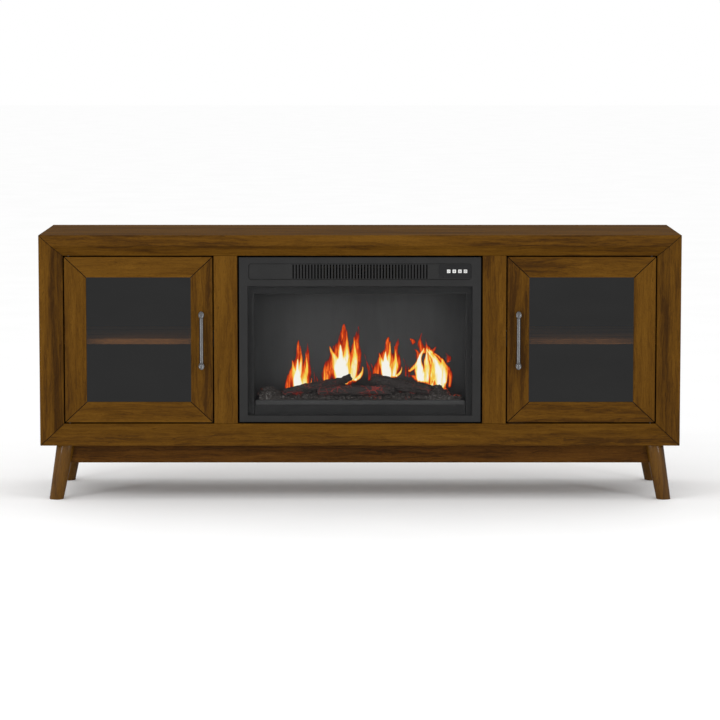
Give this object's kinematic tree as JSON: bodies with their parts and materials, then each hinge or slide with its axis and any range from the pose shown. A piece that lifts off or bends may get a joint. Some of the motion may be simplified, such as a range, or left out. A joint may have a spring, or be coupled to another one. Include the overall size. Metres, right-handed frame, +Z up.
{
  "type": "electric fireplace console",
  "caption": "Walnut media console on splayed legs with an electric fireplace insert between two cabinets with glazed doors.",
  "frame": {"origin": "on the floor under the middle of the case", "axes": "+X to the right seen from the front, +Y to the back, +Z up; the doors and the fire face -Y"},
  "size_m": [1.8288, 0.4572, 0.762],
  "materials": {
    "walnut": "stained walnut with a satin lacquer and straight grain",
    "dark_walnut": "stained walnut, darker, satin lacquer",
    "inner_board": "dark laminated board",
    "hardboard": "plain hardboard",
    "tinted_glass": "grey tinted, polished",
    "clear_glass": "clear tempered",
    "dark_nickel": "satin dark nickel plate",
    "satin_black": "satin black powder coat",
    "sheet_steel": "dark painted sheet steel",
    "zinc_steel": "zinc plated",
    "black_plastic": "fine matt",
    "key_print": "black caps with white symbols",
    "charred_resin": "moulded charred bark with glowing cracks",
    "screen_grey": "smooth dark diffusing sheet",
    "mica": "mica board with heating wire",
    "circuit_green": "circuit board lacquer",
    "foil": "bright foil"
  },
  "bodies": {
    "console": {"case_top": "walnut", "case_bottom": "walnut", "case_left_side": "walnut", "case_right_side": "walnut", "left_mid_stile": "walnut", "right_mid_stile": "walnut", "left_partition": "inner_board", "right_partition": "inner_board", "insert_floor_panel": "inner_board", "back_panel": "hardboard", "leg_front_left": "walnut", "leg_front_right": "walnut", "leg_back_left": "walnut", "leg_back_right": "walnut", "apron_front": "dark_walnut", "apron_back": "dark_walnut", "apron_left": "dark_walnut", "apron_right": "dark_walnut", "left_shelf": "walnut", "left_shelf_inner_cleat": "inner_board", "left_shelf_outer_cleat": "inner_board", "right_shelf": "walnut", "right_shelf_inner_cleat": "inner_board", "right_shelf_outer_cleat": "inner_board", "left_door_upper_pivot": "zinc_steel", "left_door_lower_pivot": "zinc_steel", "left_door_catch": "zinc_steel", "right_door_upper_pivot": "zinc_steel", "right_door_lower_pivot": "zinc_steel", "right_door_catch": "zinc_steel", "insert_bezel": "satin_black", "front_glass": "clear_glass", "view_surround": "satin_black", "control_panel": "satin_black", "control_board": "circuit_green", "insert_housing": "sheet_steel", "cord_gland": "black_plastic", "heater_deck": "sheet_steel", "ember_tray": "satin_black", "log_set": "charred_resin", "flame_screen": "screen_grey", "flame_motor": "zinc_steel", "led_bar": "circuit_green", "heating_element": "mica", "blower_duct": "zinc_steel", "blower_motor": "zinc_steel"},
    "left_door": {"left_door_frame": "walnut", "left_door_pane": "tinted_glass", "left_door_bead": "walnut", "left_door_handle": "dark_nickel"},
    "right_door": {"right_door_frame": "walnut", "right_door_pane": "tinted_glass", "right_door_bead": "walnut", "right_door_handle": "dark_nickel"},
    "blower_spindle": {"blower_rotor": "sheet_steel"},
    "flame_spindle": {"flame_rotor": "foil"},
    "key_1": {"button_1": "key_print"},
    "key_2": {"button_2": "key_print"},
    "key_3": {"button_3": "key_print"},
    "key_4": {"button_4": "key_print"}
  },
  "joints": [
    {"name": "left_door_swing", "type": "hinge", "parent": "console", "child": "left_door", "pos_m": [-0.8324, -0.1916, 0.4605], "axis": [0, 0, -1], "range_deg": [0, 105]},
    {"name": "right_door_swing", "type": "hinge", "parent": "console", "child": "right_door", "pos_m": [0.8324, -0.1916, 0.4605], "axis": [0, 0, 1], "range_deg": [0, 105]},
    {"name": "blower_spin", "type": "hinge", "parent": "console", "child": "blower_spindle", "pos_m": [0, -0.1093, 0.6538], "axis": [1, 0, 0], "continuous": true},
    {"name": "flame_spin", "type": "hinge", "parent": "console", "child": "flame_spindle", "pos_m": [0, -0.0493, 0.2948], "axis": [1, 0, 0], "continuous": true},
    {"name": "key_1_press", "type": "slide", "parent": "console", "child": "key_1", "axis": [0, 1, 0], "range_m": [0, 0.001], "stiffness_N_per_m": 400},
    {"name": "key_2_press", "type": "slide", "parent": "console", "child": "key_2", "axis": [0, 1, 0], "range_m": [0, 0.001], "stiffness_N_per_m": 400},
    {"name": "key_3_press", "type": "slide", "parent": "console", "child": "key_3", "axis": [0, 1, 0], "range_m": [0, 0.001], "stiffness_N_per_m": 400},
    {"name": "key_4_press", "type": "slide", "parent": "console", "child": "key_4", "axis": [0, 1, 0], "range_m": [0, 0.001], "stiffness_N_per_m": 400}
  ]
}
